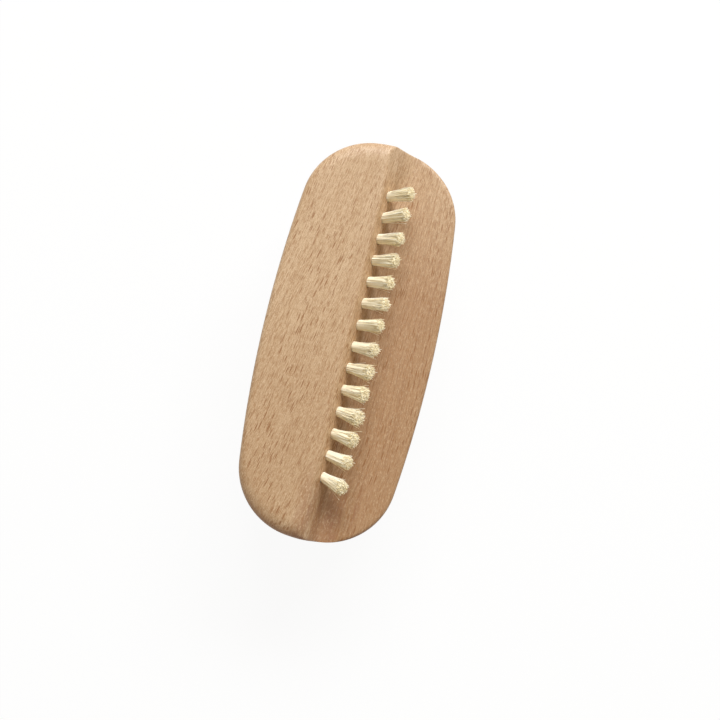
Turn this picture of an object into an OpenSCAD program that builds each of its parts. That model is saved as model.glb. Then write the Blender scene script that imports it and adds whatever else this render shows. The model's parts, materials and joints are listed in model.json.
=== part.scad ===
// Double-sided nail brush: a beech body with a stepped top, a fanned row of bristle tufts on the
// step wall, a field of tufts on the underside, and a flat wire anchor in every bore.
// X runs along the body, Y across it with the ledge towards -Y, and Z up from the bristle tips.

/* [Beech body] */
// Length of the body
body_length = 95; // [88:0.5:104]
// Width of the body
body_width = 40.6; // [38:0.2:46]
// Thickness of the wood under the high face
body_height = 21; // [19:0.5:26]
// Radius of the bowed long sides
side_bow_radius = 290; // [220:10:400]
// Radius of the bowed ends
end_bow_radius = 33.5; // [28:0.5:40]
// Radius of the four corners in plan
corner_radius = 16.4; // [13:0.2:17.6]
// Length of the softened band at each end of the high face
end_round_length = 3.6; // [1:0.2:5]
// Width of the softened edge along the outer side of the high face
side_round_width = 1.2; // [0.4:0.1:2]
// Depth of the softened band round the high face
top_round_depth = 1.7; // [0.5:0.1:3]
// Radius of the broken edges of the ledge and the underside
edge_radius = 0.9; // [0.3:0.1:2]
// Length over which the ledge's broken edge runs out beside the step wall
edge_run_out = 6; // [3:0.5:8]

/* [Step] */
// Distance of the ridge from the middle of the body, away from the ledge
ridge_offset = 0.8; // [-1:0.1:4]
// Depth of the ledge under the high face
step_depth = 6.3; // [5.5:0.1:8]
// Slope of the step wall from level, in degrees
wall_slope = 50; // [42:1:62]
// Radius of the hollow where the wall runs out into the ledge
hollow_radius = 4; // [1:0.5:5]
// Radius that takes the sharpness off the ridge
ridge_radius = 0.8; // [0.2:0.1:1]

/* [Upper row] */
// Number of tufts in the row on the step wall
upper_tufts = 14; // [6:1:15]
// Distance of the row's first tuft from the -X end of the body
upper_low_margin = 15; // [13:0.2:17]
// Distance of the row's last tuft from the +X end of the body
upper_high_margin = 11.8; // [11:0.2:15]
// Distance of the row below the ridge, down the wall
upper_row_drop = 3.9; // [3:0.1:5]
// Diameter of the upper bores
upper_bore_diameter = 2.6; // [2:0.1:3]
// Depth of the upper bores
upper_bore_depth = 9; // [6:0.5:10]
// Length that the upper bristles stand out of the wall
upper_bristle_length = 6.8; // [4:0.2:10]
// Spread of an upper tuft at its cut tips
upper_tip_diameter = 3.5; // [2.8:0.1:4]
// Lean of the two end tufts away from the middle of the row, in degrees
fan_angle = 10.5; // [0:0.5:14]
// Lean of the whole row towards +X, in degrees
fan_lean = 2.7; // [0:0.1:5]

/* [Underside field] */
// Number of rows in the field
field_rows = 5; // [3:2:5]
// Number of tufts in the middle row, each next row outwards having one less
field_middle_tufts = 14; // [8:1:14]
// Distance of the middle row's end tufts from the ends of the body
field_end_margin = 9.8; // [9:0.1:11]
// Distance of the outer rows from the sides of the body
field_side_margin = 7.9; // [7:0.1:9]
// Diameter of the field bores
field_bore_diameter = 3; // [2.4:0.1:3.4]
// Depth of the field bores
field_bore_depth = 9; // [6:0.5:9.5]
// Length that the field bristles stand out of the underside
field_bristle_length = 13; // [9:0.5:18]
// Spread of a field tuft at its trimmed tips
field_tip_diameter = 4.8; // [3.4:0.1:5]

/* [Bristles] */
// Width of an upper strand across its corners
upper_strand_width = 0.5; // [0.3:0.05:0.55]
// Width of a field strand across its corners
field_strand_width = 0.85; // [0.5:0.05:0.95]
// Depth of the bound root of a tuft below the mouth of its bore
root_recess = 0.45; // [0.4:0.05:1]
// Depth to which the loose strands run into the bound root
strand_embed = 0.6; // [0.3:0.1:1]
// Most that an upper strand falls short of the longest one
ragged_length = 0.45; // [0:0.05:1]

/* [Wire anchors] */
// Height of the flat anchor wire along the bore
anchor_height = 1.3; // [0.8:0.1:2]
// Thickness of the anchor wire
anchor_thickness = 0.3; // [0.2:0.05:0.5]
// Length by which an anchor bites into the wood at each side of its bore
anchor_bite = 0.35; // [0.2:0.05:0.5]
// Thickness of the bristle fold between an anchor and the floor of its bore
fold_thickness = 0.6; // [0.4:0.1:1]

/* [Fits] */
// Clearance of a bound root in its bore and of an anchor in its slots
fit_clearance = 0.05; // [0.03:0.01:0.1]
// Length by which a cutting shape runs past the face it cuts
overrun = 2; // [1:0.5:4]

/* [Hidden] */
$fn = 32;

// Levels above the plane of the trimmed bristle tips
underside = field_bristle_length;
high_face = underside + body_height;
ledge_face = high_face - step_depth;

// Centres and turning angles of the arcs that make a quarter of the outline
half_length = body_length / 2;
half_width = body_width / 2;
side_centre = [0, half_width - side_bow_radius];
end_centre = [half_length - end_bow_radius, 0];
centre_line = end_centre - side_centre;
side_reach = side_bow_radius - corner_radius;
end_reach = end_bow_radius - corner_radius;
foot_along = (centre_line * centre_line + side_reach * side_reach - end_reach * end_reach)
    / (2 * norm(centre_line));
foot_across = sqrt(side_reach * side_reach - foot_along * foot_along);
centre_unit = centre_line / norm(centre_line);
corner_centre = side_centre + foot_along * centre_unit
    + foot_across * [centre_unit.y, -centre_unit.x];
end_turn = atan2(corner_centre.y, corner_centre.x - end_centre.x);
side_turn = atan2(corner_centre.y - side_centre.y, corner_centre.x);

// Steps of each arc of the outline and of the rounded edges
end_steps = 2;
corner_steps = 8;
side_steps = 6;
edge_steps = 3;
crown_steps = 5;
profile_steps = 6;

// The step profile across the body, as [y, z]
ridge = [ridge_offset, high_face];
down_wall = [-cos(wall_slope), -sin(wall_slope)];
wall_foot = ridge + down_wall * step_depth / sin(wall_slope);
hollow_centre = [wall_foot.x - hollow_radius * tan(wall_slope / 2), ledge_face + hollow_radius];
ridge_centre = [ridge.x + ridge_radius * tan(wall_slope / 2), high_face - ridge_radius];

// Pitch of the upper row, of the tufts in a field row, and of the field rows
upper_pitch = (body_length - upper_low_margin - upper_high_margin) / (upper_tufts - 1);
field_pitch = (body_length - 2 * field_end_margin) / (field_middle_tufts - 1);
field_row_pitch = (body_width - 2 * field_side_margin) / (field_rows - 1);

// Rings of strands in a tuft, from the middle outwards: the strands in each, and its reach
upper_ring_counts = [3, 9];
upper_ring_shares = [0.42, 1];
field_ring_counts = [5];
field_ring_shares = [1];

// Sides of a strand, the heights of its own rings, and how it splays and is cut
upper_strand_sides = 4;
field_strand_sides = 3;
upper_height_shares = [0, 0.55, 1];
field_height_shares = [0, 1];
splay_power = 1.6;
ragged_turn = 77;

// Turn of the anchors about their bores, so that their bites don't line up along the grain
anchor_turn = 30;

function two_digits(number) = str(number < 10 ? "0" : "", number);
function upper_tuft_name(index) = str("upper_tuft_", two_digits(index + 1));
function upper_anchor_name(index) = str("upper_anchor_", two_digits(index + 1));
function field_row_name(row) = str("field_row_", row + 1);
function field_anchors_name(row) = str("field_anchors_", row + 1);

upper_indices = [0:upper_tufts - 1];
row_indices = [0:field_rows - 1];

// Points on an arc, without its last point
function arc(centre, radius, from, to, steps) =
    [for (step = [0:steps - 1])
        let (angle = from + (to - from) * step / steps)
        centre + radius * [cos(angle), sin(angle)]];

// A quarter of the outline, from the +X tip to just before the +Y side's middle
quarter = concat(
    arc(end_centre, end_bow_radius, 0, end_turn, end_steps),
    arc(corner_centre, corner_radius, end_turn, side_turn, corner_steps),
    arc(side_centre, side_bow_radius, side_turn, 90, side_steps)
);
quarter_last = len(quarter) - 1;

// The whole outline: each later quarter mirrors the one before it
outline = concat(
    quarter,
    [[0, half_width]],
    [for (index = [quarter_last:-1:0]) [-quarter[index].x, quarter[index].y]],
    [for (index = [1:quarter_last]) [-quarter[index].x, -quarter[index].y]],
    [[0, -half_width]],
    [for (index = [quarter_last:-1:1]) [quarter[index].x, -quarter[index].y]]
);

// How much of the rounding each point of the outline gets: all of it, or on the ledge none
// beside the step wall and more away from it
full_rim = [for (point = outline) 1];
ledge_rim = [for (point = outline) min(1, max(0, (hollow_centre.x - point.y) / edge_run_out))];

// The outline drawn in by one inset at its ends and another at its sides, at one level
function outline_ring(end_inset, side_inset, level, rim = full_rim) =
    [for (index = [0:len(outline) - 1])
        [
            outline[index].x * (1 - rim[index] * end_inset / half_length),
            outline[index].y * (1 - rim[index] * side_inset / half_width),
            level
        ]];

// Faces of a skin over rings of equal count, with a cap at each end
function skin_faces(count, rings) = concat(
    [[for (index = [0:count - 1]) index]],
    [for (ring = [0:rings - 2], index = [0:count - 1])
        let (low = ring * count, next = (index + 1) % count)
        each [
            [low + index, low + count + index, low + count + next],
            [low + index, low + count + next, low + next]
        ]],
    [[for (index = [count - 1:-1:0]) (rings - 1) * count + index]]
);

module skin(rings) {
    polyhedron(
        points = [for (ring = rings) each ring],
        faces = skin_faces(len(rings[0]), len(rings))
    );
}

// The body's outline carried up to a level, with the underside's edge broken and a rounded top edge
module rounded_block(top, end_round, side_round, depth, steps, rim) {
    skin(concat(
        [for (step = [0:edge_steps])
            let (angle = 90 * step / edge_steps, inset = edge_radius * (1 - sin(angle)))
            outline_ring(inset, inset, underside + edge_radius * (1 - cos(angle)))],
        [for (step = [0:steps])
            let (angle = 90 * step / steps, share = 1 - cos(angle))
            outline_ring(end_round * share, side_round * share, top - depth * (1 - sin(angle)), rim)]
    ));
}

// Everything behind the step wall, with the ridge softened and the hollow at its foot
module behind_wall() {
    profile = concat(
        arc(hollow_centre, hollow_radius, -90, wall_slope - 90, profile_steps),
        [hollow_centre + hollow_radius * [sin(wall_slope), -cos(wall_slope)]],
        arc(ridge_centre, ridge_radius, 90 + wall_slope, 90, profile_steps),
        [
            [ridge_centre.x, high_face],
            [ridge_centre.x, high_face + overrun],
            [half_width + overrun, high_face + overrun],
            [half_width + overrun, underside - overrun],
            [hollow_centre.x, underside - overrun]
        ]
    );
    rotate([90, 0, 90])
        translate([0, 0, -half_length - overrun])
            linear_extrude(height = body_length + 2 * overrun)
                polygon(profile);
}

// Places what follows with +Z along the axis of an upper tuft, its zero on the wall
module at_upper(index) {
    middle = (upper_tufts - 1) / 2;
    share = (index - middle) / middle;
    seat = ridge + down_wall * upper_row_drop;
    translate([upper_low_margin - half_length + upper_pitch * index, seat.x, seat.y])
        rotate([wall_slope, 0, 0])
            rotate([0, fan_lean + fan_angle * share, 0])
                children();
}

// Tufts in one row of the field, and the place of each
function field_count(row) = field_middle_tufts - abs(row - (field_rows - 1) / 2);

// Places what follows with +Z down along a field tuft, its zero on the underside
module at_field(row) {
    count = field_count(row);
    for (index = [0:count - 1])
        translate([
            field_pitch * (index - (count - 1) / 2),
            field_row_pitch * (row - (field_rows - 1) / 2),
            underside
        ])
            rotate([180, 0, 0])
                children();
}

// The bar of flat wire across the foot of a bore, grown by a clearance
module anchor_bar(diameter, depth, clearance) {
    length = diameter + 2 * (anchor_bite + clearance);
    width = anchor_thickness + 2 * clearance;
    rotate([0, 0, anchor_turn])
        translate([-length / 2, -width / 2, fold_thickness - depth - clearance])
            cube([length, width, anchor_height + 2 * clearance]);
}

// A blind bore with the two slots that its anchor bites into the wood
module bore(diameter, depth) {
    translate([0, 0, -depth])
        cylinder(h = depth + overrun, d = diameter);
    anchor_bar(diameter, depth, fit_clearance);
}

// The bound root of a tuft: the folded half of the bundle, gripped in its bore round the anchor
module bound_root(diameter, depth) {
    difference() {
        translate([0, 0, fit_clearance - depth])
            cylinder(h = depth - fit_clearance - root_recess, d = diameter - 2 * fit_clearance);
        anchor_bar(diameter, depth, fit_clearance);
    }
}

// One bristle from the bound root to its cut tip, bowing away from the tuft's axis
module strand(root, tip, length, width, sides, heights) {
    low = -root_recess - strand_embed;
    skin([for (share = heights)
        let (place = root + (tip - root) * pow(share, splay_power))
        [for (side = [0:sides - 1])
            let (angle = 360 * side / sides)
            [
                place.x + width / 2 * cos(angle),
                place.y + width / 2 * sin(angle),
                low + (length - low) * share
            ]]]);
}

// The loose half of a tuft: rings of strands that splay from the bore to the tip diameter
module strands(diameter, tip_diameter, length, ragged, width, sides, counts, shares, heights) {
    root_reach = diameter / 2 - fit_clearance - width / 2;
    tip_reach = tip_diameter / 2 - width / 2;
    for (ring = [0:len(counts) - 1], index = [0:counts[ring] - 1]) {
        angle = 360 * (index + ring / 2) / counts[ring];
        direction = shares[ring] * [cos(angle), sin(angle)];
        shortfall = ragged * abs(sin(ragged_turn * (index + counts[ring])));
        strand(
            root_reach * direction,
            tip_reach * direction,
            length - shortfall, width, sides, heights
        );
    }
}

module body() {
    color("burlywood")
        difference() {
            union() {
                intersection() {
                    rounded_block(high_face, end_round_length, side_round_width,
                        top_round_depth, crown_steps, full_rim);
                    behind_wall();
                }
                rounded_block(ledge_face, edge_radius, edge_radius, edge_radius,
                    edge_steps, ledge_rim);
            }
            for (index = upper_indices)
                at_upper(index)
                    bore(upper_bore_diameter, upper_bore_depth);
            for (row = row_indices)
                at_field(row)
                    bore(field_bore_diameter, field_bore_depth);
        }
}

module upper_tuft(index) {
    color("cornsilk")
        at_upper(index)
            union() {
                bound_root(upper_bore_diameter, upper_bore_depth);
                strands(upper_bore_diameter, upper_tip_diameter, upper_bristle_length,
                    ragged_length, upper_strand_width, upper_strand_sides,
                    upper_ring_counts, upper_ring_shares, upper_height_shares);
            }
}

module upper_anchor(index) {
    color("silver")
        at_upper(index)
            anchor_bar(upper_bore_diameter, upper_bore_depth, 0);
}

module field_row(row) {
    color("wheat")
        at_field(row)
            union() {
                bound_root(field_bore_diameter, field_bore_depth);
                strands(field_bore_diameter, field_tip_diameter, field_bristle_length,
                    0, field_strand_width, field_strand_sides,
                    field_ring_counts, field_ring_shares, field_height_shares);
            }
}

module field_anchors(row) {
    color("silver")
        at_field(row)
            anchor_bar(field_bore_diameter, field_bore_depth, 0);
}

body();
for (index = upper_indices)
    upper_tuft(index);
for (index = upper_indices)
    upper_anchor(index);
for (row = row_indices)
    field_row(row);
for (row = row_indices)
    field_anchors(row);
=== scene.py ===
# %% [markdown]
# # A double-sided nail brush
# The brush is one block of beech with a stepped top: a high face for the palm, a slanted wall that
# carries one row of short bristle tufts, and a low ledge for the fingertips. Longer tufts stand in
# five rows underneath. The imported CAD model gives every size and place, so it is loaded first and
# stays the fixed frame that all new pieces are fitted to.

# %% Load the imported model
import json
import math
import random

import bmesh
import bpy
from mathutils import Matrix, Vector, noise

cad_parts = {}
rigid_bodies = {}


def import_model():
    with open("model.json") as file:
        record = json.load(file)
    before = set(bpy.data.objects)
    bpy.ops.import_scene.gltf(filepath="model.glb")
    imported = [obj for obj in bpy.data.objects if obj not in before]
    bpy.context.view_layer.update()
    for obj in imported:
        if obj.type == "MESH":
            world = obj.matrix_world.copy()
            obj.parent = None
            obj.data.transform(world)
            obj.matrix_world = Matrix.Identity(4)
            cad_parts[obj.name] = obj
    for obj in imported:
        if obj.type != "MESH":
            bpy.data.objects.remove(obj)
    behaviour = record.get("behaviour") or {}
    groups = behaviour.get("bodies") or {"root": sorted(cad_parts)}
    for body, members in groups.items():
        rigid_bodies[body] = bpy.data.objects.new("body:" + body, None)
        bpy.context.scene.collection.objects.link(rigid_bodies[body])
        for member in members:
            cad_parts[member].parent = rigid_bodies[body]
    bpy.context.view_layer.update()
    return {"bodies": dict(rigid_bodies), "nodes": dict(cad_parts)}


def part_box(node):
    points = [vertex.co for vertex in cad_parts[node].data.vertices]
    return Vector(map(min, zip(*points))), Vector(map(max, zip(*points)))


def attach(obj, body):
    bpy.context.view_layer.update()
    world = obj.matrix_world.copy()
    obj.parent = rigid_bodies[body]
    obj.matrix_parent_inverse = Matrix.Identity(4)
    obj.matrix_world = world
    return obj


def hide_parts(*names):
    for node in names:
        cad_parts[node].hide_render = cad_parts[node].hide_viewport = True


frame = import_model()
body_name = next(iter(frame["bodies"]))
MM = 0.001

# %% [markdown]
# ## The sizes of the brush
# A maker's drawing is in millimetres, and so is all the modelling here. A finished mesh is scaled to
# metres once, at the end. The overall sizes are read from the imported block; the radii and angles
# repeat the drawing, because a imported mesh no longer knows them. X runs along the brush, from the
# end that is low in the photo to the end that is high in it, and Y runs across it, from the ledge to
# the high face.

# %% Sizes in millimetres
block_low, block_high = (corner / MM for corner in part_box("body"))
half_length = (block_high.x - block_low.x) / 2
half_width = (block_high.y - block_low.y) / 2
underside, high_face = block_low.z, block_high.z

side_bow_radius = 290
end_bow_radius = 33.5
corner_radius = 16.4
step_depth = 6.3
wall_slope = math.radians(50)
ridge_y = 0.8
hollow_radius = 4.0
ledge_face = high_face - step_depth

upper_tufts = 14
upper_low_margin, upper_high_margin = 15.0, 11.8
upper_row_drop = 3.9
upper_bore, upper_depth = 2.6, 9.0
upper_length, upper_tip = 6.8, 3.8
fan_angle, fan_lean = math.radians(10.5), math.radians(2.7)

field_rows, field_middle_tufts = 5, 14
field_end_margin, field_side_margin = 9.8, 7.9
field_bore, field_depth = 3.0, 9.0
field_rest_gap = 0.08
field_length, field_tip = underside - field_rest_gap, 4.8
print("block", round(2 * half_length, 2), round(2 * half_width, 2), round(high_face, 2))

# %% [markdown]
# ## The camera
# The photo looks almost straight down, from a little beyond the low end of the brush, with the long
# axis leaning thirteen degrees to the right. A camera can be turned by angles, but it is safer to
# build its three axes: one from the brush to the lens, one to the picture's right and one up.

# %% Place the camera
photo_pixels = 720
focal_pixels = 1405.6
camera_aim = Vector((-3.72, -3.51, 30.0)) * MM
camera_distance = 330 * MM
lean_along, lean_across = math.radians(-5.51), math.radians(-0.82)
camera_roll = math.radians(13.13)
nearest_seen, farthest_seen = 0.01, 20

camera_data = bpy.data.cameras.new("camera")
camera_data.lens = focal_pixels / photo_pixels * camera_data.sensor_width
camera_data.clip_start, camera_data.clip_end = nearest_seen, farthest_seen
camera = bpy.data.objects.new("camera", camera_data)
bpy.context.collection.objects.link(camera)

towards_lens = Vector((math.sin(lean_along), math.sin(lean_across), 0))
towards_lens.z = math.sqrt(1 - towards_lens.length_squared)
level_right = Vector((1, 0, 0)).cross(towards_lens).normalized()
roll = Matrix.Rotation(camera_roll, 3, towards_lens)
picture_right = roll @ level_right
picture_up = towards_lens.cross(picture_right)
axes = Matrix((picture_right, picture_up, towards_lens)).transposed()
camera.matrix_world = Matrix.Translation(camera_aim + towards_lens * camera_distance) @ axes.to_4x4()
bpy.context.scene.camera = camera
print("lens mm", round(camera_data.lens, 1), "camera at", [round(v, 3) for v in camera.location])

# %% [markdown]
# ## Finishing a piece
# Every piece ends the same way: doubles merged, faces turned outwards, scaled to metres, given its
# material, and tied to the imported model. One helper does that, so that no piece misses a step.
# Smooth shading needs a limit, or the flat end of a bore would look like a dented dome.

# %% The helper that finishes a piece
sharp_edge = math.radians(40)
merge_gap = 0.0005


def finish_piece(bm, name, material, nodes):
    """Makes a bmesh in millimetres an object in metres that stands for some CAD nodes"""
    bmesh.ops.remove_doubles(bm, verts=bm.verts, dist=merge_gap)
    bmesh.ops.recalc_face_normals(bm, faces=bm.faces)
    bmesh.ops.scale(bm, vec=Vector((MM, MM, MM)), verts=bm.verts)
    mesh = bpy.data.meshes.new(name)
    bm.to_mesh(mesh)
    bm.free()
    mesh.polygons.foreach_set("use_smooth", [True] * len(mesh.polygons))
    mesh.set_sharp_from_angle(angle=sharp_edge)
    mesh.materials.append(material)
    piece = bpy.data.objects.new(name, mesh)
    bpy.context.collection.objects.link(piece)
    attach(piece, body_name)
    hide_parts(*nodes)
    return piece


# %% [markdown]
# ## Shader sums that read as sums
# A material's arithmetic could be wired node by node, but a sum of twenty nodes is hard to read. A
# small class wraps one socket, so that `1 - mask` adds a Math node by itself. Every other node comes
# from one method that takes its type, its settings and what goes into its sockets.

# %% A socket that can be used in a sum
class Value:
    """One output of a node"""

    def __init__(self, graph, socket):
        self.graph = graph
        self.socket = socket

    def output(self, name):
        """Another output of the same node"""
        return Value(self.graph, self.socket.node.outputs[name])

    def sum_with(self, operation, first, second):
        """The Value of one Math node"""
        return self.graph.node("ShaderNodeMath", {"operation": operation}, {0: first, 1: second})

    def __add__(self, other):
        return self.sum_with("ADD", self, other)

    def __sub__(self, other):
        return self.sum_with("SUBTRACT", self, other)

    def __rsub__(self, other):
        return self.sum_with("SUBTRACT", other, self)

    def __mul__(self, other):
        return self.sum_with("MULTIPLY", self, other)

    def __truediv__(self, other):
        return self.sum_with("DIVIDE", self, other)

    def __pow__(self, other):
        return self.sum_with("POWER", self, other)

    __radd__ = __add__
    __rmul__ = __mul__


# %% [markdown]
# The world that lights the scene has a node tree too, so one class holds any tree and the calls
# that grow it, and a second one adds what only a material has: its shader, places in millimetres and
# a bump. A Mix node has more than one socket of each name, so the ones for colours go by number.

# %% A node tree, and the tree of a material
MIX_FACTOR, MIX_FIRST, MIX_SECOND, MIX_COLOUR = 0, 6, 7, 2


class Graph:
    """A node tree that grows one node at a time"""

    def __init__(self, tree):
        self.tree = tree

    def node(self, kind, settings=None, sockets=None, output=0):
        """A new node: its settings first, then its sockets, each a number, a colour or a Value"""
        node = self.tree.nodes.new(kind)
        for name, value in (settings or {}).items():
            setattr(node, name, value)
        for name, value in (sockets or {}).items():
            self.feed(node.inputs[name], value)
        return Value(self, node.outputs[output])

    def feed(self, socket, value):
        """Links a Value to a socket, or sets the socket to a number or a colour"""
        if isinstance(value, Value):
            self.tree.links.new(value.socket, socket)
        else:
            socket.default_value = value

    def mix(self, factor, first, second):
        """A colour between two colours"""
        sockets = {MIX_FACTOR: factor, MIX_FIRST: first, MIX_SECOND: second}
        return self.node("ShaderNodeMix", {"data_type": "RGBA"}, sockets, MIX_COLOUR)

    def ramp(self, value, low, high, to_low=0.0, to_high=1.0):
        """An even S from to_low to to_high while the value goes from low to high"""
        sockets = {"Value": value, "From Min": low, "From Max": high,
                   "To Min": to_low, "To Max": to_high}
        return self.node("ShaderNodeMapRange", {"interpolation_type": "SMOOTHSTEP"}, sockets)

    def noise(self, vector, detail=2.0, roughness=0.5):
        """Soft patches, each about as large as one step of the vector"""
        sockets = {"Vector": vector, "Scale": 1.0, "Detail": detail, "Roughness": roughness}
        return self.node("ShaderNodeTexNoise", None, sockets, "Fac")

    def vector(self, x, y, z):
        return self.node("ShaderNodeCombineXYZ", None, {"X": x, "Y": y, "Z": z})

    def parts(self, vector):
        """The three numbers of a vector"""
        split = self.node("ShaderNodeSeparateXYZ", None, {0: vector})
        return [split.output(axis) for axis in "XYZ"]


class Finish(Graph):
    """The node tree of a new material, with its shader"""

    def __init__(self, name, **constants):
        self.material = bpy.data.materials.new(name)
        self.material.use_nodes = True
        super().__init__(self.material.node_tree)
        self.shader = self.tree.nodes["Principled BSDF"]
        for name, value in constants.items():
            self.surface(name.replace("_", " "), value)

    def surface(self, name, value):
        """Gives one socket of the shader a number, a colour or a Value"""
        self.feed(self.shader.inputs[name], value)

    def millimetres(self):
        """The place on the piece as three Values, in millimetres"""
        place = self.node("ShaderNodeTexCoord", output="Object")
        return self.parts(self.node("ShaderNodeVectorMath", {"operation": "SCALE"},
                                    {0: place, "Scale": 1 / MM}))

    def bump(self, height, distance):
        """Raises the surface where the height is more; the distance is in millimetres"""
        sockets = {"Height": height, "Distance": distance * MM}
        self.surface("Normal", self.node("ShaderNodeBump", None, sockets))


def paint(red, green, blue):
    """A colour as a paint chart gives it, 0 to 255, as the linear colour that a socket wants"""
    shares = [value / 255 for value in (red, green, blue)]
    return tuple(s / 12.92 if s <= 0.04045 else ((s + 0.055) / 1.055) ** 2.4 for s in shares) + (1.0,)


# %% [markdown]
# ## Beech
# Beech is pale pinkish tan and has two marks that tell it from other woods: short dark spindles, the
# cut edges of its rays, and fine pores between them. Both follow the grain, which runs slightly
# askew under the high face. The wood is painted as a solid: all patterns are functions of the place
# inside the block, so the sides and ends show the same boards, rings and rays as the top does. Each
# mark is a pattern with a size along the grain, across it and into the block.

# %% The colours of the wood, and the sizes of its marks in millimetres
# The third colour is painted shade: the darker tan of the high face's low half, where the lamp's light
# falls off.
ground_pale, ground_tan, high_face_shade_tan = paint(211, 182, 148), paint(196, 164, 128), paint(176, 140, 104)
# The last colour here is partly the wood's streak brown and partly painted shade, where the wall runs
# out at the low end.
ledge_tan, ledge_brown, run_out_shade_brown = paint(170, 131, 94), paint(146, 103, 68), paint(142, 92, 62)
streak_tan, blotch_pale, pore_brown = paint(168, 130, 92), paint(218, 190, 157), paint(152, 117, 82)
small_ray_brown, large_ray_brown = paint(158, 112, 68), paint(144, 97, 54)
# End grain brown, which towards the low end is painted shade on the end that faces away from the lamp.
end_grain_and_shade_brown = paint(138, 84, 50)

ledge_line, run_out_streak = (24.0, 0.28, 0.9), (18.0, 1.2, 1.6)
streak, blotch, pore = (5.0, 0.26, 0.5), (0.8, 0.3, 0.5), (0.36, 0.17, 0.2)
small_ray, large_ray = (1.5, 0.2, 0.55), (3.0, 0.36, 0.55)
ring_width, ring_length = 2.2, 90
heart_beside, heart_below = 16, 30
grain_askew, grain_wander = 0.19, 2.4
wander_patch, crowd_patch = (30, 14, 14), (16, 7, 7)

# %% [markdown]
# The wood also changes from place to place. Each change below starts at its first place and is full
# at its second. Those `along` the block run on X and those `across` it on Y. The streaks of the run
# out start twice across, once from the side of the high face and once from the ledge's rim.

# %% Where the wood changes, in millimetres
askew_across = (-22.0, 10.0)
# Painted shade on the high face, growing from its middle to its low end and kept off the wall.
high_face_shade_along, high_face_shade_across = (2.0, -14.0), (-2.5, 1.5)
# The wall and ledge turn ruddy. The tone is partly the wood's own and partly painted shade of the
# tufts, so it is weak at the high end, where no tuft shades the ledge, and full towards the low end.
ruddy_shade_along, ruddy_across = (46.0, 8.0), (3.0, -9.0)
# Where the wall runs out at the low end, its streaks are partly the wood and partly painted shade.
run_out_along, run_out_from_face, run_out_from_rim = (-27.0, -39.0), (4.5, 1.5), (-15.0, -8.0)
# The end grain's brown is weak at the high end and strong at the low end, which is painted shade on the
# end that faces away from the lamp.
end_shade_along = (20.0, -32.0)

# %% [markdown]
# Most of a noise lies between 0.3 and 0.7. A mark begins to show where its noise is at the first
# number of its band and is full at the second, and its strength is how much of its colour then
# covers the wood. The lighter and darker marks also stand a little above or below the surface.

# %% Where the marks show, how strongly, and how they are raised
NOISE_RANGE = (0.3, 0.7)
line_band, run_out_band = (0.48, 0.66), (0.4, 0.6)
streak_band, blotch_band, pore_band, crowd_band = (0.44, 0.64), (0.48, 0.68), (0.5, 0.68), (0.38, 0.58)

high_face_shade_strength, ledge_strength, least_ruddy_shade = 0.3, 0.9, 0.15
line_strength, run_out_strength, streak_strength, pore_strength = 0.75, 0.64, 0.8, 0.75
blotch_strength, blotch_lost_on_ledge = 0.65, 0.3
small_ray_strength, large_ray_strength, least_crowded = 0.62, 0.88, 0.5
end_grain_turn, end_grain_and_shade_strengths = (0.02, 0.5), (0.06, 0.52)

beech_roughness = (0.36, 0.5)
blotch_rise, pore_dip, large_ray_dip, small_ray_dip = 0.4, 0.8, 0.5, 0.3
beech_relief = 0.05


# %% The grain, and the ground that the marks lie on
def patches(wood, place, size):
    """Large soft patches, of a size in each direction"""
    return wood.noise(wood.vector(*(axis / own for axis, own in zip(place, size))), detail=1.0)


def beech_grain(wood, place):
    """The place across the grain, and a function that stretches a pattern along the grain"""
    x, y, z = place
    wander = patches(wood, place, wander_patch) * grain_wander
    across = y + x * wood.ramp(y, *askew_across) * grain_askew + wander

    def stretched(along, over, deep):
        return wood.vector(x / along, across / over, z / deep)

    return across, stretched


def beech_ground(wood, place, across, stretched):
    """The colour of the wood without its small marks, with its painted shade, and how ruddy and shaded
    the wall and ledge are
    """
    x, y, z = place

    # Growth rings: bands at a distance from a far heart, here below and beside the block
    from_heart = (((across + heart_beside) ** 2.0) + ((z + heart_below) ** 2.0)) ** 0.5
    rings = wood.noise(wood.vector(from_heart / ring_width, x / ring_length, 0.0),
                       detail=3.0, roughness=0.6)
    colour = wood.mix(wood.ramp(rings, *NOISE_RANGE), ground_pale, ground_tan)

    # The low half of the high face is darkened with painted shade, where the lamp's light falls off,
    # and the wall and ledge are ruddy and lined
    high_face_shade = wood.ramp(x, *high_face_shade_along, 0.0, high_face_shade_strength) * wood.ramp(y, *high_face_shade_across)
    colour = wood.mix(high_face_shade, colour, high_face_shade_tan)
    # Ruddy tone on the wall and ledge, partly the wood and partly painted shade of the tufts, weakest
    # at the high end.
    ruddy_and_shade = wood.ramp(y, *ruddy_across) * wood.ramp(x, *ruddy_shade_along, least_ruddy_shade)
    colour = wood.mix(ruddy_and_shade * ledge_strength, colour, ledge_tan)
    lines = wood.noise(stretched(*ledge_line), detail=3.0, roughness=0.6)
    lined = wood.ramp(lines, *line_band) * ruddy_and_shade * line_strength
    colour = wood.mix(lined, colour, ledge_brown)

    # Long reddish streaks where the wall runs out at the low end, partly the wood's own streaks and
    # partly painted shade, as that end of the wall lies in shade
    long_streaks = wood.noise(stretched(*run_out_streak), detail=2.0)
    run_out = (wood.ramp(x, *run_out_along) * wood.ramp(y, *run_out_from_face)
               * wood.ramp(y, *run_out_from_rim))
    streaks_and_shade = wood.ramp(long_streaks, *run_out_band) * run_out * run_out_strength
    return wood.mix(streaks_and_shade, colour, run_out_shade_brown), ruddy_and_shade


# %% The marks, and the whole finish
smallest_ray = 0.45
ray_rim, ray_solid = 1.0, 0.5
chance_blur = 0.1


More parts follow.
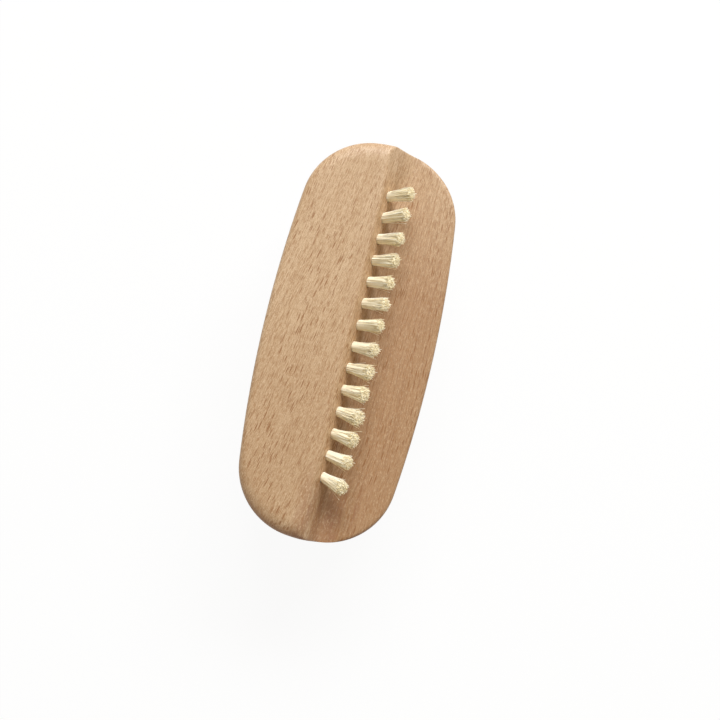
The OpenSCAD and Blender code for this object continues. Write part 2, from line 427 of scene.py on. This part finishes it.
def ray_flecks(wood, place, size, left_out):
    """One spindle in each cell of a stretched lattice, of its own size, some left out"""
    from_middle = wood.node("ShaderNodeTexVoronoi", None, {"Vector": place, "Scale": 1.0}, "Distance")
    chance = wood.node("ShaderNodeSeparateColor", None, {0: from_middle.output("Color")})
    own_size = chance.output("Red") * size + size * smallest_ray
    kept = wood.ramp(chance.output("Green"), left_out, left_out + chance_blur)
    return wood.ramp(from_middle / own_size, ray_rim, ray_solid) * kept


def beech_finish():
    """The ground with its marks laid on, from the finest fibre to the pores, then end grain with
    painted shade at the low end
    """
    wood = Finish("beech", Roughness=0.6, IOR=1.45, Specular_IOR_Level=0.6)
    place = wood.millimetres()
    across, stretched = beech_grain(wood, place)
    colour, ruddy_and_shade = beech_ground(wood, place, across, stretched)

    # Fine fibre: thin brown streaks, and blotches a little paler than the ground
    streaks = wood.noise(stretched(*streak), detail=4.0, roughness=0.7)
    colour = wood.mix(wood.ramp(streaks, *streak_band) * streak_strength, colour, streak_tan)
    blotches = wood.noise(stretched(*blotch), detail=3.0, roughness=0.65)
    paler = wood.ramp(blotches, *blotch_band) * (blotch_strength - ruddy_and_shade * blotch_lost_on_ledge)
    colour = wood.mix(paler, colour, blotch_pale)

    # Ray flecks, the large ones in loose crowds, and pores between them
    crowded = wood.ramp(patches(wood, place, crowd_patch), *crowd_band, least_crowded)
    large = ray_flecks(wood, stretched(*large_ray), size=0.4, left_out=0.38) * crowded
    small = ray_flecks(wood, stretched(*small_ray), size=0.46, left_out=0.1)
    colour = wood.mix(small * small_ray_strength, colour, small_ray_brown)
    colour = wood.mix(large * large_ray_strength, colour, large_ray_brown)
    pores = wood.noise(stretched(*pore), detail=3.0, roughness=0.75)
    colour = wood.mix(wood.ramp(pores, *pore_band) * pore_strength, colour, pore_brown)

    # Surfaces that face along the grain are darker end grain, only a little at the high end; towards
    # the low end the same brown is painted shade, on the end that faces away from the lamp
    facing = wood.parts(wood.node("ShaderNodeTexCoord", output="Normal"))
    end_grain = wood.ramp(facing[0] ** 2.0, *end_grain_turn)
    end_grain_and_shade = wood.ramp(place[0], *end_shade_along, *end_grain_and_shade_strengths)
    colour = wood.mix(end_grain * end_grain_and_shade, colour, end_grain_and_shade_brown)

    wood.surface("Base Color", colour)
    wood.surface("Roughness", wood.ramp(streaks, *NOISE_RANGE, *beech_roughness))
    wood.bump(blotches * blotch_rise - pores * pore_dip - large * large_ray_dip
              - small * small_ray_dip, beech_relief)
    return wood.material


beech = beech_finish()
print("beech has", len(beech.node_tree.nodes), "nodes")

# %% [markdown]
# ## Bristle
# The bristle is a cream plant fibre. Each one has its own tone, from nearly white to straw yellow,
# and its cut end is yellower than its side. The tone can't come from the place in space, because
# neighbours would share it, so every bristle carries a number of its own as a mesh attribute.

# %% The bristle finish
TONE = "bristle_tone"
ALONG = "bristle_along"
fibre_cream, fibre_white = paint(251, 238, 202), paint(255, 252, 238)
fibre_straw, cut_yellow, speck_yellow = paint(222, 200, 150), paint(232, 210, 154), paint(232, 214, 168)
white_tones, straw_tones, straw_strength = (0.0, 0.7), (0.8, 1.0), 0.7
cut_end, cut_strength = (0.965, 1.0), 0.25
speck_size, speck_band, speck_strength = 0.5, (0.45, 0.8), 0.25
bristle_roughness, bristle_relief = (0.5, 0.66), 0.02


def bristle_finish():
    """Each fibre's own cream, yellower at its cut end, with small specks"""
    fibre = Finish("bristle", Roughness=0.6, Specular_IOR_Level=0.2)
    tone = fibre.node("ShaderNodeAttribute", {"attribute_name": TONE}, output="Fac")
    along = fibre.node("ShaderNodeAttribute", {"attribute_name": ALONG}, output="Fac")
    colour = fibre.mix(fibre.ramp(tone, *white_tones), fibre_cream, fibre_white)
    colour = fibre.mix(fibre.ramp(tone, *straw_tones) * straw_strength, colour, fibre_straw)
    colour = fibre.mix(fibre.ramp(along, *cut_end) * cut_strength, colour, cut_yellow)
    specks = fibre.noise(fibre.vector(*(axis / speck_size for axis in fibre.millimetres())))
    colour = fibre.mix(fibre.ramp(specks, *speck_band) * speck_strength, colour, speck_yellow)
    fibre.surface("Base Color", colour)
    fibre.surface("Roughness", fibre.ramp(specks, *NOISE_RANGE, *bristle_roughness))
    fibre.bump(specks, bristle_relief)
    return fibre.material


bristle = bristle_finish()
print("bristle has", len(bristle.node_tree.nodes), "nodes")

# %% [markdown]
# ## Anchor wire
# A flat steel staple is driven over each folded tuft and bites into the wood. It is drawn wire, so
# fine scratches run along it. The CAD bars have the right shape and only need this finish.

# %% The wire finish, put on the CAD anchors
wire_dark, wire_bright = paint(168, 168, 170), paint(206, 206, 208)
scratch_length, scratch_width, scratch_relief = 0.6, 0.05, 0.01
wire_roughness = (0.24, 0.42)


def wire_finish():
    """Bright steel with scratches along the wire"""
    wire = Finish("anchor_wire", Metallic=1.0, IOR=1.5)
    x, y, z = wire.millimetres()
    scratches = wire.noise(wire.vector(x / scratch_length, y / scratch_width, z / scratch_width))
    wire.surface("Base Color", wire.mix(scratches, wire_dark, wire_bright))
    wire.surface("Roughness", wire.ramp(scratches, *NOISE_RANGE, *wire_roughness))
    wire.bump(scratches, scratch_relief)
    return wire.material


anchor_wire = wire_finish()
anchors = [frame["nodes"][name] for name in frame["nodes"] if "anchor" in name]
for anchor in anchors:
    anchor.data.materials.clear()
    anchor.data.materials.append(anchor_wire)
print("anchors finished", len(anchors))

# %% [markdown]
# ## The plan of the block
# Seen from above, the block is a rounded oblong of three kinds of arc: bowed ends, tight corners and
# slightly bowed sides. A spun vertex draws an arc, and two mirrors make the whole outline from a
# quarter. The corner's circle has to touch both bows, which fixes its centre.

# %% Spin and mirror the outline
end_steps, corner_steps, side_steps = 12, 22, 18


def spin_arc(bm, last, centre, angle, steps):
    """Turns a vertex about an upright axis, leaving an arc of edges, and returns its end"""
    spun = bmesh.ops.spin(bm, geom=[last], cent=centre, axis=(0, 0, 1), angle=angle, steps=steps)
    return spun["geom_last"][0]


def corner_place(end_centre, side_centre):
    """Centre of the corner's circle, which touches the circles of the end and of the side"""
    line = end_centre - side_centre
    side_reach, end_reach = side_bow_radius - corner_radius, end_bow_radius - corner_radius
    foot = (line.length_squared + side_reach ** 2 - end_reach ** 2) / (2 * line.length)
    aside = math.sqrt(side_reach ** 2 - foot ** 2)
    unit = line.normalized()
    return side_centre + foot * unit + aside * Vector((unit.y, -unit.x, 0))


def outline_face():
    """A bmesh with one flat face that has the outline of the block"""
    end_centre = Vector((half_length - end_bow_radius, 0, 0))
    side_centre = Vector((0, half_width - side_bow_radius, 0))
    corner_centre = corner_place(end_centre, side_centre)
    end_turn = math.atan2(corner_centre.y, corner_centre.x - end_centre.x)
    side_turn = math.atan2(corner_centre.y - side_centre.y, corner_centre.x)
    bm = bmesh.new()
    last = bm.verts.new((half_length, 0, 0))
    last = spin_arc(bm, last, end_centre, end_turn, end_steps)
    last = spin_arc(bm, last, corner_centre, side_turn - end_turn, corner_steps)
    spin_arc(bm, last, side_centre, math.pi / 2 - side_turn, side_steps)
    for axis in "XY":
        bmesh.ops.mirror(bm, geom=bm.verts[:] + bm.edges[:], axis=axis, merge_dist=merge_gap)
    bmesh.ops.remove_doubles(bm, verts=bm.verts, dist=merge_gap)
    face = bmesh.ops.contextual_create(bm, geom=bm.edges[:])["faces"][0]
    if face.normal.z < 0:
        face.normal_flip()
    return bm, face


# %% [markdown]
# ## The stepped top
# The top could be cut by booleans, but the sanded edges of the real block flow into each other: the
# ends of the high face fall away softly, the ridge is a little rounded and the wall runs out into
# the ledge in a hollow. So the flat outline gets rings along its rim and cuts along the step, and
# then each vertex is lifted to the height that the worked block has there.
#
# Two things change along the block. The wall is worked steeper than the plane that the tufts are
# seated on, which leaves a crisp dark edge between them, and towards the high end it goes back to
# that plane. The ridge is crisp at the high end and worn rounder towards the low end.

# %% The sizes of the sanded edges and the wall
end_round, side_round = 4.2, 1.4
end_fall, side_fall = 2.1, 1.4
edge_radius, edge_run_out = 0.9, 6.0
wall_edge = 0.4
worked_slope, worked_back = math.radians(64), 0.45
crisp_ridge, soft_ridge, worn_ridge, hollow_softness = 0.5, 1.4, 3.0, 2.2
seat_y = ridge_y - math.cos(wall_slope) * upper_row_drop
seat_z = high_face - math.sin(wall_slope) * upper_row_drop
hollow_y = ridge_y - step_depth / math.tan(wall_slope) - hollow_radius * math.tan(wall_slope / 2)

# Where along the block a shape changes: from its middle towards both ends, or towards its low end
end_stretch = (27, 47)
steeper_stretch, softer_stretch, worn_stretch = (-44, -33), (-40, -10), (24, 44)
print("seats at y", round(seat_y, 2), "z", round(seat_z, 2), "hollow ends at y", round(hollow_y, 2))


# %% The height of the top at one place
def smooth_step(value, low, high):
    """0 below low, 1 above high, and an even S between them"""
    share = min(1.0, max(0.0, (value - low) / (high - low)))
    return share * share * (3 - 2 * share)


def fallen(distance, width, depth):
    """How far a rounded rim has fallen at a distance from the edge"""
    share = min(1.0, distance / width)
    return depth * (1 - math.sqrt(1 - (1 - share) ** 2))


def softer(first, second, softness):
    """The lower of two heights, with their crossing rounded"""
    overlap = max(0.0, softness - abs(first - second)) / softness
    return min(first, second) - overlap * overlap * softness / 4


def top_height(x, y, distance):
    """Height of the worked top at a place, given its distance from the outline"""
    end_share = smooth_step(abs(x), *end_stretch)
    width = side_round + (end_round - side_round) * end_share
    depth = side_fall + (end_fall - side_fall) * end_share
    high = high_face - fallen(distance, width, depth)

    towards_low = -x
    steeper = smooth_step(towards_low, *steeper_stretch)
    rise = math.tan(wall_slope) + (math.tan(worked_slope) - math.tan(wall_slope)) * steeper
    wall = seat_z + (y - seat_y - worked_back * steeper) * rise
    wall -= fallen(distance, wall_edge, wall_edge)

    ledge_share = min(1.0, max(0.0, (hollow_y - y) / edge_run_out))
    ledge = ledge_face - fallen(distance, edge_radius, edge_radius) * ledge_share

    ridge = crisp_ridge + (soft_ridge - crisp_ridge) * smooth_step(towards_low, *softer_stretch)
    ridge += (worn_ridge - soft_ridge) * smooth_step(towards_low, *worn_stretch)
    worked = softer(high, wall, ridge)
    return -softer(-worked, -ledge, hollow_softness)


# %% Rings, cuts and heights
rim_rings = [0.02, 0.08, 0.18, 0.32, 0.5, 0.75, 1.05, 1.4, 1.8, 2.3, 2.9, 3.6, 4.5]
ripple_depth, ripple_length = 0.05, 13.0
edge_segments = 5

# Each stretch of cuts: from, to and how far apart, which is least where the step bends
ledge_cuts, hollow_cuts = (-18, hollow_y - 1, 3), (hollow_y - 0.6, -4.8, 0.4)
ridge_cuts, palm_cuts = (-4.5, 1.9, 0.2), (3.5, 18, 3.2)
length_cuts = (-45, 45, 3.2)
print("rings round the rim", len(rim_rings))


def cut_lines(start, stop, spacing):
    """Evenly spaced places from start to stop"""
    count = max(1, round((stop - start) / spacing))
    return [start + (stop - start) * index / count for index in range(count + 1)]


def add_rings(bm, middle):
    """Insets the flat face ring by ring, and marks each vertex with its distance from the rim"""
    rim = bm.verts.layers.float.new("rim_distance")
    reached = 0.0
    for distance in rim_rings:
        bmesh.ops.inset_individual(bm, faces=[middle], thickness=distance - reached,
                                   use_even_offset=True)
        reached = distance
        for vert in middle.verts:
            vert[rim] = distance
    return rim


def stepped_block():
    """The worked top as an open sheet, and the loop of edges round it"""
    bm, middle = outline_face()
    rim = add_rings(bm, middle)
    across = [place for stretch in (ledge_cuts, hollow_cuts, ridge_cuts, palm_cuts)
              for place in cut_lines(*stretch)]
    for normal, places in (((0, 1, 0), across), ((1, 0, 0), cut_lines(*length_cuts))):
        for place in places:
            bmesh.ops.bisect_plane(bm, geom=bm.verts[:] + bm.edges[:] + bm.faces[:], dist=merge_gap,
                                   plane_co=Vector(normal) * place, plane_no=normal)
    edge_loop = [edge for edge in bm.edges if edge.is_boundary]
    for vert in bm.verts:
        x, y, _ = vert.co
        ripple = noise.noise(Vector((x / ripple_length, y / ripple_length, 0)))
        vert.co.z = top_height(x, y, vert[rim]) + ripple * ripple_depth * min(1, vert[rim])
    return bm, edge_loop


def add_sides(bm, edge_loop):
    """Draws the rim down to the underside, closes it and rounds its lower edge"""
    drawn = bmesh.ops.extrude_edge_only(bm, edges=edge_loop)["geom"]
    for vert in (item for item in drawn if isinstance(item, bmesh.types.BMVert)):
        vert.co.z = underside
    low_loop = [item for item in drawn if isinstance(item, bmesh.types.BMEdge)]
    bmesh.ops.contextual_create(bm, geom=low_loop)
    bmesh.ops.bevel(bm, geom=low_loop, offset=edge_radius, segments=edge_segments,
                    profile=0.5, affect="EDGES", material=-1)


# %% [markdown]
# ## The bores
# Each tuft sits in a blind hole. A drill is a cylinder, so seventy-eight cylinders are placed where
# the tufts stand and taken away from the block in one boolean, which is then made final. All the
# solids are closed, so the manifold solver suits them.

# %% Where the tufts stand
def upper_places():
    """A matrix for each upper tuft: zero on the wall, +Z along the tuft"""
    pitch = (2 * half_length - upper_low_margin - upper_high_margin) / (upper_tufts - 1)
    seat = Vector((0, seat_y, seat_z))
    middle = (upper_tufts - 1) / 2
    for index in range(upper_tufts):
        seat.x = upper_low_margin - half_length + pitch * index
        lean = fan_lean + fan_angle * (index - middle) / middle
        yield (Matrix.Translation(seat) @ Matrix.Rotation(wall_slope, 4, "X")
               @ Matrix.Rotation(lean, 4, "Y"))


def field_places(row):
    """A matrix for each tuft of one field row: zero on the underside, +Z down"""
    pitch = (2 * half_length - 2 * field_end_margin) / (field_middle_tufts - 1)
    row_pitch = (2 * half_width - 2 * field_side_margin) / (field_rows - 1)
    from_middle = row - (field_rows - 1) / 2
    count = int(field_middle_tufts - abs(from_middle))
    for index in range(count):
        seat = Vector((pitch * (index - (count - 1) / 2), row_pitch * from_middle, underside))
        yield Matrix.Translation(seat) @ Matrix.Rotation(math.pi, 4, "X")


upper_seats = list(upper_places())
field_seats = [list(field_places(row)) for row in range(field_rows)]
print("tufts above", len(upper_seats), "below", sum(len(row) for row in field_seats))

# %% Drill the bores
drill_sides, drill_outside = 28, 2.0


def drills():
    """All the drills as one object, each a closed cylinder that starts outside the wood"""
    bm = bmesh.new()
    sets = [(upper_seats, upper_bore, upper_depth)]
    sets += [(row, field_bore, field_depth) for row in field_seats]
    for seats, bore, depth in sets:
        for seat in seats:
            place = seat @ Matrix.Translation((0, 0, (drill_outside - depth) / 2))
            bmesh.ops.create_cone(bm, cap_ends=True, segments=drill_sides, radius1=bore / 2,
                                  radius2=bore / 2, depth=depth + drill_outside, matrix=place)
    mesh = bpy.data.meshes.new("drills")
    bm.to_mesh(mesh)
    bm.free()
    return bpy.data.objects.new("drills", mesh)


def drilled(bm):
    """The bmesh with the bores taken out of it"""
    mesh = bpy.data.meshes.new("block")
    bm.to_mesh(mesh)
    bm.free()
    block, cutter = bpy.data.objects.new("block", mesh), drills()
    for item in (block, cutter):
        bpy.context.collection.objects.link(item)
    boolean = block.modifiers.new("bores", "BOOLEAN")
    boolean.operation, boolean.solver, boolean.object = "DIFFERENCE", "MANIFOLD", cutter
    result = bmesh.new()
    result.from_object(block, bpy.context.evaluated_depsgraph_get())
    for item in (block, cutter):
        bpy.data.objects.remove(item)
    return result


# %% [markdown]
# The top, its sides and the bores are put together here. The count of open edges should be zero,
# which says that the block is a closed solid.

# %% Put the block together
block_mesh, rim_loop = stepped_block()
add_sides(block_mesh, rim_loop)
bmesh.ops.recalc_face_normals(block_mesh, faces=block_mesh.faces)
block_mesh = drilled(block_mesh)
open_edges = sum(not edge.is_manifold for edge in block_mesh.edges)
block = finish_piece(block_mesh, "beech_block", beech, ["body"])
print("block faces", len(block.data.polygons), "open edges", open_edges)

# %% [markdown]
# ## Bristles and tufts
# A tuft is a bundle of fibres folded over the anchor in its bore. One straight fibre, a thin prism
# with a few rungs, is made once; each bristle is a copy of it, bent by a rule: straight while the
# bore holds it, then bowing outwards to its place at the cut tip. Particles or curves could do it
# too, but copies of one small mesh stay light and carry their own tone.

# %% One straight fibre
def straight_fibre(sides, steps):
    """A fibre 1 wide and 1 long on +Z, with rungs to bend at"""
    bm = bmesh.new()
    bmesh.ops.create_cone(bm, cap_ends=True, segments=sides, radius1=0.5, radius2=0.5, depth=1,
                          matrix=Matrix.Translation((0, 0, 0.5)))
    uprights = [edge for edge in bm.edges if abs(edge.verts[0].co.z - edge.verts[1].co.z) > 0.5]
    bmesh.ops.subdivide_edges(bm, edges=uprights, cuts=steps - 1)
    mesh = bpy.data.meshes.new("fibre")
    bm.to_mesh(mesh)
    bm.free()
    return mesh


upper_fibre = straight_fibre(sides=5, steps=5)
field_fibre = straight_fibre(sides=4, steps=5)
core = straight_fibre(sides=24, steps=6)
print("faces in a fibre", len(upper_fibre.polygons), len(field_fibre.polygons))

# %% [markdown]
# A rule takes a vertex of the straight mesh and gives its place in the tuft, and how far along its
# free length that is. The fibres of a tuft differ by small amounts, all named here: the shake of
# their places, their lengths and widths, and the slope of their cut ends. Those at the rim are cut
# a little shorter, so that the tips make a shallow dome.

# %% How a fibre bends, and how fibres differ
at_the_end = 0.999
anchor_top, anchor_half = 7.2, 0.32
anchor_turn = math.radians(30)
fibre_taper = 0.08

bore_gap = 0.06
turn_shake, place_shake = 0.25, 0.04
least_spread, most_spread = 0.85, 1.1
stray_least, stray_most, stray_width = 1.15, 1.6, 0.65
end_shake, bow_shake = 0.13, 0.06
thinnest, thickest = 0.7, 1.15
soonest_bend, latest_bend = 1.1, 1.7
steepest_cut = 0.5
dome_power = 3


def add_bent(bm, straight, place, rule, tone):
    """Adds a copy of a straight mesh with each vertex moved by a rule"""
    tone_layer, along_layer = (bm.verts.layers.float[name] for name in (TONE, ALONG))
    bm.from_mesh(straight)
    bm.verts.ensure_lookup_table()
    for vert in bm.verts[-len(straight.vertices):]:
        bent, free = rule(vert.co)
        vert.co = place @ bent
        vert[tone_layer] = tone
        vert[along_layer] = free


def fibre_rule(root, end, bow, bend, length, width, cut_slope):
    """The rule for one fibre, which starts at the anchor and leaves the bore at its root"""
    def rule(co):
        level = -anchor_top + (length + anchor_top) * co.z
        free = max(0.0, level / length)
        centre = root + (end - root) * free ** bend + bow * math.sin(math.pi * free)
        thick = width * (1 - fibre_taper * free)
        tilt = co.x * thick * cut_slope if co.z > at_the_end else 0
        return Vector((centre.x + co.x * thick, centre.y + co.y * thick, level + tilt)), free

    return rule


# %% [markdown]
# Deep inside a tuft, real fibres press so tightly that no light gets between them. A solid core
# stands for that middle. The outer fibres are half sunk in it, and it ends below the tips, so that
# it is never seen as a shape of its own.

# %% The core of a tuft
core_short, core_sunk, core_share, core_blunt = 0.45, 3.0, 0.91, 0.7
core_lumps, lump_scale, core_swell, core_tone = 0.1, 7, 1.4, 0.3
farthest_seed = 99


def core_rule(seed, bore, tip, length):
    """The rule for a core, which swells from the bore to the tip and has shallow lumps"""
    def rule(co):
        level = (length - core_short + core_sunk) * co.z - core_sunk
        free = max(0.0, level / length)
        place = Vector((co.x * lump_scale, co.y * lump_scale, free)) + seed
        lumps = 1 + core_lumps * noise.noise(place)
        radius = core_share * lumps * (bore + (tip - bore) * free ** core_swell)
        if co.z > at_the_end:
            radius *= core_blunt
        return Vector((co.x * radius, co.y * radius, level)), free

    return rule


# %% [markdown]
# Where the fibres stand in the bundle matters: random places clump and leave holes. A sunflower
# spiral fills a circle evenly, and a small shake hides its order. No fibre stands where the anchor
# lies, and a few strays at the rim spread wider than the rest.

# %% A bundle of bent fibres
golden_turn = math.pi * (3 - math.sqrt(5))


def new_bundle_mesh():
    """A bmesh whose vertices can say their fibre's tone and how far along it they are"""
    bm = bmesh.new()
    for name in (TONE, ALONG):
        bm.verts.layers.float.new(name)
    return bm


def add_bundle(bm, place, rand, tip, fibre, count, width, bore, length, ragged, strays=0):
    """Adds one tuft to a bmesh, placed by a matrix"""
    seed = Vector((rand.uniform(0, farthest_seed), 0, 0))
    add_bent(bm, core, place, core_rule(seed, bore, tip, length), core_tone)
    root_reach = bore / 2 - width / 2 - bore_gap
    tip_reach = tip / 2 - width / 2
    across_anchor = Vector((-math.sin(anchor_turn), math.cos(anchor_turn)))
    for index in range(count):
        turn = index * golden_turn + rand.uniform(-turn_shake, turn_shake)
        share = math.sqrt((index + 0.5) / count) + rand.uniform(-place_shake, place_shake)
        share = min(1.0, share)
        outwards = Vector((math.cos(turn), math.sin(turn)))
        root = outwards * share * root_reach
        aside = root.dot(across_anchor)
        if abs(aside) < anchor_half:
            root += across_anchor * (math.copysign(anchor_half, aside) - aside)
        spread = tip_reach * share * rand.uniform(least_spread, most_spread)
        stray = index >= count - strays
        if stray:
            spread *= rand.uniform(stray_least, stray_most)
        end = outwards * spread + Vector((rand.gauss(0, end_shake), rand.gauss(0, end_shake)))
        own_length = length - abs(rand.gauss(0, ragged)) - share ** dome_power * ragged
        own_width = width * rand.uniform(thinnest, thickest) * (stray_width if stray else 1)
        bow = Vector((rand.gauss(0, bow_shake), rand.gauss(0, bow_shake)))
        bend = rand.uniform(soonest_bend, latest_bend)
        cut_slope = rand.uniform(-steepest_cut, steepest_cut)
        rule = fibre_rule(root, end, bow, bend, own_length, own_width, cut_slope)
        add_bent(bm, fibre, place, rule, tone=rand.random())


# %% [markdown]
# ## The upper row
# Fourteen short tufts fan out along the wall. A machine set them, yet each leans a little its own
# way, and some splay more than others. The two lists below follow the photo, where each tuft was
# measured, and run from the low end to the high end: how many degrees a tuft leans away from its
# bore, where minus is towards the low end, and how wide its tip is, as a share of the usual width.

# %% Make the upper row
upper_seed = 100
upper_kind = {"fibre": upper_fibre, "count": 260, "width": 0.17, "bore": upper_bore,
              "length": upper_length, "ragged": 0.4, "strays": 4}
own_leans = [-5, -1, -2, -3, -2, -3, -4, 0, -3, -6, -5, -7, -1, -5]
own_splays = [1.0, 0.86, 1.0, 1.04, 1.0, 1.0, 0.92, 0.84, 0.88, 0.88, 0.88, 0.86, 0.84, 0.84]

for index, seat in enumerate(upper_seats):
    tuft = new_bundle_mesh()
    lean = Matrix.Rotation(math.radians(own_leans[index]), 4, "Y")
    add_bundle(tuft, seat @ lean, random.Random(upper_seed + index),
               upper_tip * own_splays[index], **upper_kind)
    name = f"{index + 1:02d}"
    finish_piece(tuft, f"row_tuft_{name}", bristle, [f"upper_tuft_{name}"])
print("upper fibres", upper_tufts * upper_kind["count"])

# %% [markdown]
# ## The field underneath
# Sixty-four long tufts are trimmed to one plane, which the brush stands on. They are coarser than
# the upper row and splay more, and one mesh holds each row of them.

# %% Make the field
field_seed = 500
field_kind = {"fibre": field_fibre, "count": 120, "width": 0.24, "bore": field_bore,
              "length": field_length, "ragged": 0.12}
most_turn = 0.3

for row, seats in enumerate(field_seats):
    rand = random.Random(field_seed + row)
    tufts = new_bundle_mesh()
    for seat in seats:
        turned = seat @ Matrix.Rotation(rand.uniform(0, most_turn), 4, "Z")
        add_bundle(tufts, turned, rand, field_tip, **field_kind)
    name = f"field_tufts_{row + 1}"
    piece = finish_piece(tufts, name, bristle, [f"field_row_{row + 1}"])
    print(name, "faces", len(piece.data.polygons))

# %% [markdown]
# ## Light and floor
# The photo is lit by one wide soft lamp beyond the high end, about forty degrees up, and by warm,
# even light from all round. The backdrop is white without any extra light: the floor and the world
# are mixed with plain white only for the rays that the camera, a mirror or glass sees them by.

# %% A white floor that keeps its shadow
direct_rays = ("Is Camera Ray", "Is Glossy Ray", "Is Transmission Ray")
white, floor_paint = (1, 1, 1, 1), (0.9, 0.9, 0.9, 1)
white_share = 0.93
floor_half = 3


def seen_directly(graph):
    """1 for rays from the camera, a mirror or through glass, and 0 for the others"""
    path = graph.node("ShaderNodeLightPath")
    seen, *others = (path.output(name) for name in direct_rays)
    for other in others:
        seen = seen.sum_with("MAXIMUM", seen, other)
    return seen


floor_finish = Finish("floor_white", Roughness=0.9)
floor_finish.surface("Base Color", floor_paint)
glow = floor_finish.node("ShaderNodeEmission", None, {"Color": white, "Strength": 1.0})
plain = Value(floor_finish, floor_finish.shader.outputs[0])
whitened = seen_directly(floor_finish) * white_share
mixed = floor_finish.node("ShaderNodeMixShader", None, {0: whitened, 1: plain, 2: glow})
floor_finish.feed(floor_finish.tree.nodes["Material Output"].inputs["Surface"], mixed)

floor_mesh = bpy.data.meshes.new("floor")
bm = bmesh.new()
bmesh.ops.create_grid(bm, x_segments=1, y_segments=1, size=floor_half)
bm.to_mesh(floor_mesh)
bm.free()
floor_mesh.materials.append(floor_finish.material)
floor = bpy.data.objects.new("floor", floor_mesh)
bpy.context.collection.objects.link(floor)
print("floor is", 2 * floor_half, "m wide")

# %% The warm room light
room_light = (0.36, 0.308, 0.225)

world = bpy.data.worlds.new("studio")
bpy.context.scene.world = world
world.use_nodes = True
room = Graph(world.node_tree)
backdrop = room.mix(seen_directly(room), (*room_light, 1), white)
room.feed(room.tree.nodes["Background"].inputs["Color"], backdrop)
print("room light", room_light)

# %% The soft lamp
key_power, key_distance, key_colour = 13.3, 1.0, (0.94, 0.97, 1.0)
key_width, key_depth = 0.9, 0.35
key_height, key_turn = math.radians(41), math.radians(-4)

key_data = bpy.data.lights.new("key", "AREA")
key_data.shape, key_data.energy, key_data.color = "RECTANGLE", key_power, key_colour
key_data.size, key_data.size_y = key_width, key_depth
key = bpy.data.objects.new("key", key_data)
bpy.context.collection.objects.link(key)
towards_key = Vector((math.cos(key_turn) * math.cos(key_height),
                      math.sin(key_turn) * math.cos(key_height), math.sin(key_height)))
key.matrix_world = (Matrix.Translation(camera_aim + towards_key * key_distance)
                    @ towards_key.to_track_quat("Z", "Y").to_matrix().to_4x4())
bpy.context.scene.view_settings.view_transform = "Standard"
print("key light at", [round(value, 3) for value in key.location])
